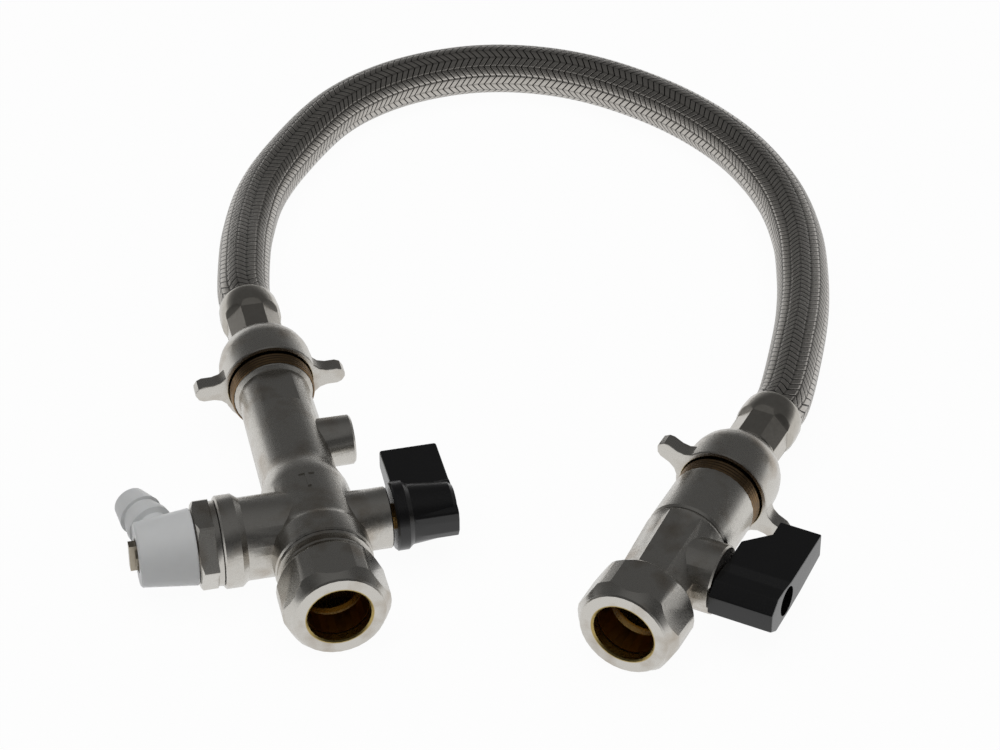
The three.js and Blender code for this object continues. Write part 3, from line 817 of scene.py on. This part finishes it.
class FILLINGLOOP_OT_metal(bpy.types.Operator):
    """Gives the plated, brass and steel nodes their finishes"""

    bl_idname = "filling_loop.metal"
    bl_label = "Metal finishes"

    def execute(self, context):
        for letter, place, turn, mouth, cast, nuts in (
            ("a", PLACE_A, TURN_A, MOUTH_A, ("body_a",), ("nut_a", "inlet_a", "drain_insert")),
            ("b", PLACE_B, TURN_B, MOUTH_B, ("body_b", "outlet_b"), ("nut_b",)),
        ):
            # Cast bodies keep the sand's grain of about half a millimetre under the plate
            casting = nickel_plate_material(
                "nickel_on_casting_" + letter, place, turn, 7.7 * MM, 60 * MM, 0.6 * MM, 0.04 * MM
            )
            round_off(casting, *cast)
            # Machined nuts are smoother, with a fine satin grain
            satin = nickel_plate_material(
                "nickel_on_turned_brass_" + letter, place, turn, 8.05 * MM, 30 * MM, 0.3 * MM, 0.015 * MM
            )
            round_off(satin, *nuts)
            seat = (mouth + 8) * MM
            union = nickel_plate_material(
                "nickel_on_winged_nut_" + letter, place, turn, 10.8 * MM, seat, 0.3 * MM, 0.015 * MM
            )
            # The CAD nut's dome is too long, so what lies past the true dome is cut away
            winged = "wing_nut_" + letter
            true_dome = placed(turned(DOME), place, turn, mouth)
            stand_in(worked(copy_of(winged), "INTERSECT", true_dome), winged, union)
            bare = turned_brass_material("turned_brass_" + letter, place, turn)
            dress(bare, "olive_" + letter, "tail_" + letter, "stem_" + letter)
        # Nickel plate on the small turned spindle, dulled by handling
        dulled = grained_material(
            "nickel_plated_spindle", "#978f80", "#a9a193", 1.0, 0.32, 0.8 * MM, 0.01 * MM
        )[0]
        dress(dulled, "drain_spindle")
        # Chrome plate, polished: near mirror, a little blue
        chrome = grained_material(
            "polished_chrome_plate", "#d8dadc", "#e2e4e6", 1.0, 0.08, 2 * MM, 0.002 * MM
        )[0]
        dress(chrome, "ball_a", "ball_b")
        # Zinc plate on drawn steel: bright and slightly cloudy
        zinc = grained_material(
            "zinc_plated_steel", "#a9a9ab", "#c2c2c4", 1.0, 0.28, 0.8 * MM, 0.01 * MM
        )[0]
        dress(zinc, "screw_a", "screw_b", "check_spring_1", "check_spring_2")
        # Pressed stainless steel: smooth, with faint drawing marks, a little darker than the wire
        pressed = grained_material(
            "pressed_stainless_steel", "#aba69e", "#c0bcb4", 1.0, 0.22, 1.5 * MM, 0.03 * MM
        )[0]
        stand_in(placed(self.ferrule(), PLACE_A, TURN_A, MOUTH_A), "ferrule_a", pressed)
        stand_in(placed(self.ferrule(), PLACE_B, TURN_B, MOUTH_B), "ferrule_b", pressed)
        return {"FINISHED"}

    def ferrule(self):
        """A sleeve over the hose end, pressed into eight flats in front of a round bulge on the braid."""
        press = FERRULE_BACK - 6.8
        sleeve = turned(
            [
                (6.4, 16.3),
                (6.8, 16.3),
                (7.1, 16.7),
                (7.2, press - 1),
                (7.7, press + 0.6),
                (7.8, press + 3),
                (7.6, FERRULE_BACK - 1.2),
                (7.2, FERRULE_BACK),
                (5.2, FERRULE_BACK),
                (5.2, 22.7),
                (6.4, 22.7),
            ]
        )
        dents = []
        for i in range(8):
            dent = prism([(6.65, 17), (9, 17), (9, press + 2.4), (6.65, press - 1)], -2.62, 2.62)
            bmesh.ops.transform(dent, matrix=Matrix.Rotation(i * math.pi / 4, 4, "Y"), verts=dent.verts)
            dents.append(dent)
        return worked(sleeve, "DIFFERENCE", *dents)


class FILLINGLOOP_OT_plastic(bpy.types.Operator):
    """Gives the plastic and rubber nodes their finishes"""

    bl_idname = "filling_loop.plastic"
    bl_label = "Plastic and rubber finishes"

    def execute(self, context):
        # Moulded black ABS: deep black with a smooth sheen and the faint waviness of the mould
        black, _, shader = grained_material(
            "moulded_black_abs", "#0a0a0b", "#0f0f10", 0.0, 0.26, 3 * MM, 0.04 * MM
        )
        shader.inputs["IOR"].default_value = 1.54
        stand_in(placed(self.lever_a(), PLACE_A, TURN_A, CROSS_A), "handle_a", black)
        stand_in(placed(self.lever_b(), PLACE_B, TURN_B, CROSS_B), "handle_b", black)
        # Moulded natural polypropylene: milky, lets a little light in
        white, _, shader = grained_material(
            "moulded_natural_polypropylene", "#d3d4d4", "#dadbdb", 0.0, 0.36, 4 * MM, 0.03 * MM
        )
        shader.inputs["IOR"].default_value = 1.49
        shader.inputs["Subsurface Weight"].default_value = 0.4
        shader.inputs["Subsurface Radius"].default_value = (2.5 * MM, 2.4 * MM, 2.2 * MM)
        round_off(white, "drain_spout")
        # Moulded acetal: opaque white with a dull surface
        acetal = grained_material(
            "moulded_white_acetal", "#dcdcd6", "#e6e6e0", 0.0, 0.45, 2 * MM, 0.02 * MM
        )[0]
        dress(acetal, "check_housing_1", "check_poppet_1", "check_housing_2", "check_poppet_2")
        # Turned PTFE: waxy white
        ptfe = grained_material("turned_ptfe", "#ececea", "#f4f4f2", 0.0, 0.5, 1 * MM, 0.02 * MM)[0]
        dress(ptfe, "seat_a1", "seat_a2", "seat_b1", "seat_b2")
        # Moulded nitrile rubber: matt black
        rubber = grained_material(
            "moulded_nitrile_rubber", "#161616", "#1f1f1f", 0.0, 0.7, 0.5 * MM, 0.03 * MM
        )[0]
        dress(rubber, "washer_a", "washer_b", "drain_washer", "spout_ring", "stem_ring_a", "stem_ring_b")
        return {"FINISHED"}

    def lever_a(self):
        """A round hub on the stem, and a flat blade level with its top that rounds down over its front."""
        hub = to_right(
            turned(
                [
                    (0, 19),
                    (7.9, 19),
                    (8.4, 19.5),
                    (8.4, 22),
                    (7.4, 23.2),
                    (6.4, 33.2),
                    (5.6, 34.2),
                    (0, 34.2),
                ]
            )
        )
        blade = [(1, 4.95), (19.2, 4.75), (19.8, 4.1), (19.8, -0.1), (19.2, -0.75), (6, -2.6), (1, -4.4)]
        nose = [
            (4.7, 5.1),
            (-1, 4.85),
            (-5.6, 4.15),
            (-6.5, 3.5),
            (-7, 1.6),
            (-7, -1.6),
            (-6, -3.8),
            (-3, -6),
            (4, -5),
        ]
        flat = outward(prism(blade, 20.1, 34.2, 0.5))
        front = outward(prism(nose, 22.9, 34.2, 0.3))
        body = worked(hub, "UNION", flat, front)
        return worked(body, "DIFFERENCE", *self.stem_fit(2.67, 17, 27.6, 3.4, 29.4, 36))

    def lever_b(self):
        """An angular hub that reaches to the end of the boss, and a blade set further out."""
        side = [
            (-9.1, -2.7),
            (-9.1, 2.3),
            (-5.7, 4.9),
            (-2, 4.8),
            (2.1, 4.1),
            (20.9, 4.3),
            (20.9, -2.2),
            (9, -4),
            (2.1, -4.6),
            (-5.7, -4.9),
        ]
        block = outward(prism(side, 13.2, 29.4, 0.35))
        corner = prism([(9.8, 6.9), (19, 15.8), (19, 23), (9, 23)], -8, 8)
        return worked(block, "DIFFERENCE", corner, *self.stem_fit(2.51, 12, 22, 3.7, 24.4, 31))

    def stem_fit(self, half, start, end, well, well_start, well_end):
        """What a lever leaves free: its stem's square, and its screw's shank and head."""
        square = prism([(start, -half), (end, -half), (end, half), (start, half)], -half, half)
        reach = well_start + 1
        shank = to_right(turned([(0, end - 2), (1.2, end - 2), (1.2, reach), (0, reach)], 16))
        head = to_right(turned([(0, well_start), (well, well_start), (well, well_end), (0, well_end)], 32))
        return square, shank, head


CLASSES = (
    FillingLoopStage,
    FillingLoopHose,
    FILLINGLOOP_OT_stage,
    FILLINGLOOP_OT_hose,
    FILLINGLOOP_OT_threads,
    FILLINGLOOP_OT_metal,
    FILLINGLOOP_OT_plastic,
)


class FILLINGLOOP_PT_panel(bpy.types.Panel):
    """Lists the pieces and the stage"""

    bl_label = "Filling Loop"
    bl_idname = "FILLINGLOOP_PT_panel"
    bl_space_type = "VIEW_3D"
    bl_region_type = "UI"
    bl_category = "Filling Loop"

    def draw(self, context):
        for made in CLASSES:
            if issubclass(made, bpy.types.Operator):
                self.layout.operator(made.bl_idname)


def register():
    for made in (*CLASSES, FILLINGLOOP_PT_panel):
        bpy.utils.register_class(made)
    bpy.types.Scene.filling_loop_stage = bpy.props.PointerProperty(type=FillingLoopStage)
    bpy.types.Scene.filling_loop_hose = bpy.props.PointerProperty(type=FillingLoopHose)


def unregister():
    del bpy.types.Scene.filling_loop_hose
    del bpy.types.Scene.filling_loop_stage
    for made in reversed((*CLASSES, FILLINGLOOP_PT_panel)):
        bpy.utils.unregister_class(made)


def main():
    register()
    bpy.ops.filling_loop.stage()
    bpy.ops.filling_loop.hose()
    bpy.ops.filling_loop.threads()
    bpy.ops.filling_loop.metal()
    bpy.ops.filling_loop.plastic()


if __name__ == "__main__":
    main()
